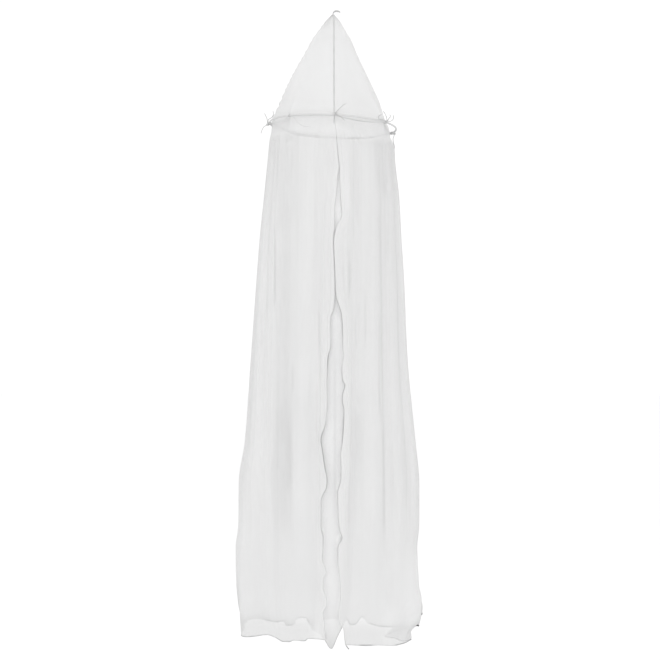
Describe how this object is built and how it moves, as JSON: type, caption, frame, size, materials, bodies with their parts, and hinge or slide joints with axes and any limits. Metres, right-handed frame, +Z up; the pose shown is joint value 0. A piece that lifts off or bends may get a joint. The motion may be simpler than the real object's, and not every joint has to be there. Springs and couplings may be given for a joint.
{
  "type": "mosquito net canopy with hoop",
  "caption": "Hanging netting canopy: a cone gathered to a top loop, tied inside a round hoop, with a long draped skirt open down the front over a narrow underlap.",
  "frame": {"origin": "crown of the hanging loop, where a hook carries the canopy", "axes": "+Z up, -Y towards the front opening, +X to the right when the opening is faced; the upright axis of the hoop lies 12 mm to the left of the crown"},
  "size_m": [0.7455, 0.5217, 2.4909],
  "materials": {
    "cone_netting": "fine sheer knitted netting",
    "skirt_netting": "fine sheer knitted netting",
    "underlap_netting": "fine sheer knitted netting",
    "hoop_plastic": "smooth satin rod",
    "sleeve_plastic": "smooth satin connector",
    "loop_cord": "twisted cord",
    "tie_cord": "thin woven cord"
  },
  "bodies": {
    "root": {"cone_net": "cone_netting", "skirt_net": "skirt_netting", "front_underlap": "underlap_netting", "hoop": "hoop_plastic", "hoop_sleeve": "sleeve_plastic", "hanging_loop": "loop_cord", "tie_center": "tie_cord", "tie_front_left": "tie_cord", "tie_left": "tie_cord", "tie_back_left": "tie_cord", "tie_back_right": "tie_cord", "tie_right_back": "tie_cord", "tie_right_front": "tie_cord", "tie_left_end_up": "tie_cord", "tie_left_end_inner": "tie_cord", "tie_left_end_tail": "tie_cord", "tie_center_end_curl": "tie_cord", "tie_center_end_right": "tie_cord", "tie_center_end_down": "tie_cord", "tie_right_front_end_up": "tie_cord", "tie_right_front_end_hook": "tie_cord", "tie_right_front_end_short": "tie_cord", "tie_right_front_end_left": "tie_cord", "tie_right_back_end_tail": "tie_cord", "tie_front_left_end": "tie_cord"}
  },
  "joints": []
}
